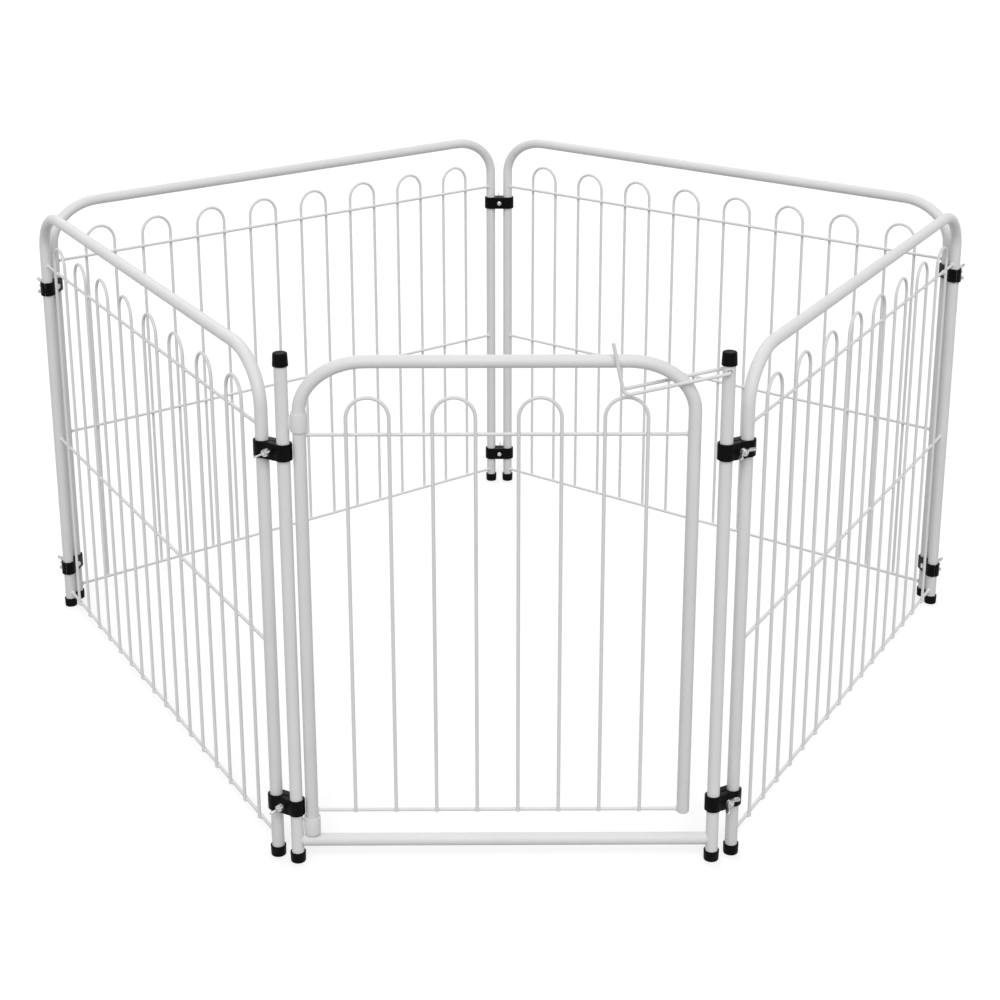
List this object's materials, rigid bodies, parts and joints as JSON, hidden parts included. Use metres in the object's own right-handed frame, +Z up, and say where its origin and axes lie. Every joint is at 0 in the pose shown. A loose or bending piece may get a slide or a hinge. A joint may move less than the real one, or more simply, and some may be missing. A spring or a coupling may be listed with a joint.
{
  "type": "pet playpen",
  "caption": "Free-standing pet playpen of tubular steel panels with arched wire infill, clamped at the corners, with a latched swing gate.",
  "frame": {"origin": "centre of the floor rectangle that the pen stands on", "axes": "+Z up, +X along the gate panel from its hinge post to its latch post, +Y from the gate into the pen"},
  "size_m": [1.4604, 1.4114, 0.6904],
  "materials": {
    "white_powder_coat": "satin white powder coat",
    "black_rubber": "matte moulded",
    "black_nylon": "satin moulded",
    "zinc_plate": "bright zinc plated"
  },
  "bodies": {
    "gate_frame": {"gate_frame": "white_powder_coat", "gate_foot_left": "black_rubber", "gate_foot_right": "black_rubber", "post_cap_left": "black_rubber", "post_cap_right": "black_rubber", "clamp_front_right_upper_inner_half": "black_nylon", "clamp_front_right_upper_outer_half": "black_nylon", "clamp_front_right_upper_bolt": "zinc_plate", "clamp_front_right_lower_inner_half": "black_nylon", "clamp_front_right_lower_outer_half": "black_nylon", "clamp_front_right_lower_bolt": "zinc_plate"},
    "gate_door": {"gate_door": "white_powder_coat"},
    "latch": {"latch_wire": "white_powder_coat"},
    "front_left_clamps": {"clamp_front_left_upper_inner_half": "black_nylon", "clamp_front_left_upper_outer_half": "black_nylon", "clamp_front_left_upper_bolt": "zinc_plate", "clamp_front_left_lower_inner_half": "black_nylon", "clamp_front_left_lower_outer_half": "black_nylon", "clamp_front_left_lower_bolt": "zinc_plate"},
    "left_front_panel": {"panel_left_front": "white_powder_coat", "panel_left_front_foot_1": "black_rubber", "panel_left_front_foot_2": "black_rubber"},
    "left_clamps": {"clamp_left_upper_inner_half": "black_nylon", "clamp_left_upper_outer_half": "black_nylon", "clamp_left_upper_bolt": "zinc_plate", "clamp_left_lower_inner_half": "black_nylon", "clamp_left_lower_outer_half": "black_nylon", "clamp_left_lower_bolt": "zinc_plate"},
    "left_rear_panel": {"panel_left_rear": "white_powder_coat", "panel_left_rear_foot_1": "black_rubber", "panel_left_rear_foot_2": "black_rubber"},
    "rear_clamps": {"clamp_rear_upper_inner_half": "black_nylon", "clamp_rear_upper_outer_half": "black_nylon", "clamp_rear_upper_bolt": "zinc_plate", "clamp_rear_lower_inner_half": "black_nylon", "clamp_rear_lower_outer_half": "black_nylon", "clamp_rear_lower_bolt": "zinc_plate"},
    "right_rear_panel": {"panel_right_rear": "white_powder_coat", "panel_right_rear_foot_1": "black_rubber", "panel_right_rear_foot_2": "black_rubber"},
    "right_clamps": {"clamp_right_upper_inner_half": "black_nylon", "clamp_right_upper_outer_half": "black_nylon", "clamp_right_upper_bolt": "zinc_plate", "clamp_right_lower_inner_half": "black_nylon", "clamp_right_lower_outer_half": "black_nylon", "clamp_right_lower_bolt": "zinc_plate"},
    "right_front_panel": {"panel_right_front": "white_powder_coat", "panel_right_front_foot_1": "black_rubber", "panel_right_front_foot_2": "black_rubber"},
    "front_left_upper_wing_nut": {"clamp_front_left_upper_wing_nut": "zinc_plate"},
    "front_left_lower_wing_nut": {"clamp_front_left_lower_wing_nut": "zinc_plate"},
    "left_upper_wing_nut": {"clamp_left_upper_wing_nut": "zinc_plate"},
    "left_lower_wing_nut": {"clamp_left_lower_wing_nut": "zinc_plate"},
    "rear_upper_wing_nut": {"clamp_rear_upper_wing_nut": "zinc_plate"},
    "rear_lower_wing_nut": {"clamp_rear_lower_wing_nut": "zinc_plate"},
    "right_upper_wing_nut": {"clamp_right_upper_wing_nut": "zinc_plate"},
    "right_lower_wing_nut": {"clamp_right_lower_wing_nut": "zinc_plate"},
    "front_right_upper_wing_nut": {"clamp_front_right_upper_wing_nut": "zinc_plate"},
    "front_right_lower_wing_nut": {"clamp_front_right_lower_wing_nut": "zinc_plate"}
  },
  "joints": [
    {"name": "gate_swing", "type": "hinge", "parent": "gate_frame", "child": "gate_door", "pos_m": [-0.243, -0.6874, 0.3], "axis": [0, 0, 1], "range_deg": [-100, 100]},
    {"name": "latch_lift", "type": "hinge", "parent": "gate_frame", "child": "latch", "pos_m": [0.2625, -0.6874, 0.652], "axis": [0, 1, 0], "range_deg": [0, 105]},
    {"name": "front_left_post_pivot", "type": "hinge", "parent": "gate_frame", "child": "front_left_clamps", "pos_m": [-0.2625, -0.6874, 0.3], "axis": [0, 0, 1], "range_deg": [0, 102]},
    {"name": "left_front_panel_near_pivot", "type": "hinge", "parent": "front_left_clamps", "child": "left_front_panel", "pos_m": [-0.28914, -0.67155, 0.3], "axis": [0, 0, 1], "range_deg": [0, 120.75]},
    {"name": "left_front_panel_far_pivot", "type": "hinge", "parent": "left_front_panel", "child": "left_clamps", "pos_m": [-0.70904, 0.10181, 0.3], "axis": [0, 0, 1], "range_deg": [0, 39.93]},
    {"name": "left_rear_panel_near_pivot", "type": "hinge", "parent": "left_clamps", "child": "left_rear_panel", "pos_m": [-0.7029, 0.1322, 0.3], "axis": [0, 0, 1], "range_deg": [0, 39.93]},
    {"name": "left_rear_panel_far_pivot", "type": "hinge", "parent": "left_rear_panel", "child": "rear_clamps", "pos_m": [-0.0155, 0.68164, 0.3], "axis": [0, 0, 1], "range_deg": [0, 38.63]},
    {"name": "right_rear_panel_near_pivot", "type": "hinge", "parent": "rear_clamps", "child": "right_rear_panel", "pos_m": [0.0155, 0.68164, 0.3], "axis": [0, 0, 1], "range_deg": [0, 38.63]},
    {"name": "right_rear_panel_far_pivot", "type": "hinge", "parent": "right_rear_panel", "child": "right_clamps", "pos_m": [0.7029, 0.1322, 0.3], "axis": [0, 0, 1], "range_deg": [0, 39.93]},
    {"name": "right_front_panel_near_pivot", "type": "hinge", "parent": "right_clamps", "child": "right_front_panel", "pos_m": [0.70904, 0.10181, 0.3], "axis": [0, 0, 1], "range_deg": [0, 39.93]},
    {"name": "front_left_upper_wing_nut_turn", "type": "hinge", "parent": "front_left_clamps", "child": "front_left_upper_wing_nut", "pos_m": [-0.27582, -0.67948, 0.553], "axis": [-0.5113, -0.8594, 0], "continuous": true},
    {"name": "front_left_lower_wing_nut_turn", "type": "hinge", "parent": "front_left_clamps", "child": "front_left_lower_wing_nut", "pos_m": [-0.27582, -0.67948, 0.078], "axis": [-0.5113, -0.8594, 0], "continuous": true},
    {"name": "left_upper_wing_nut_turn", "type": "hinge", "parent": "left_clamps", "child": "left_upper_wing_nut", "pos_m": [-0.70597, 0.117, 0.54], "axis": [-0.9802, 0.198, 0], "continuous": true},
    {"name": "left_lower_wing_nut_turn", "type": "hinge", "parent": "left_clamps", "child": "left_lower_wing_nut", "pos_m": [-0.70597, 0.117, 0.068], "axis": [-0.9802, 0.198, 0], "continuous": true},
    {"name": "rear_upper_wing_nut_turn", "type": "hinge", "parent": "rear_clamps", "child": "rear_upper_wing_nut", "pos_m": [0, 0.68164, 0.546], "axis": [0, 1, 0], "continuous": true},
    {"name": "rear_lower_wing_nut_turn", "type": "hinge", "parent": "rear_clamps", "child": "rear_lower_wing_nut", "pos_m": [0, 0.68164, 0.056], "axis": [0, 1, 0], "continuous": true},
    {"name": "right_upper_wing_nut_turn", "type": "hinge", "parent": "right_clamps", "child": "right_upper_wing_nut", "pos_m": [0.70597, 0.117, 0.559], "axis": [0.9802, 0.198, 0], "continuous": true},
    {"name": "right_lower_wing_nut_turn", "type": "hinge", "parent": "right_clamps", "child": "right_lower_wing_nut", "pos_m": [0.70597, 0.117, 0.06], "axis": [0.9802, 0.198, 0], "continuous": true},
    {"name": "front_right_upper_wing_nut_turn", "type": "hinge", "parent": "gate_frame", "child": "front_right_upper_wing_nut", "pos_m": [0.27582, -0.67948, 0.552], "axis": [0.5113, -0.8594, 0], "continuous": true},
    {"name": "front_right_lower_wing_nut_turn", "type": "hinge", "parent": "gate_frame", "child": "front_right_lower_wing_nut", "pos_m": [0.27582, -0.67948, 0.082], "axis": [0.5113, -0.8594, 0], "continuous": true}
  ]
}
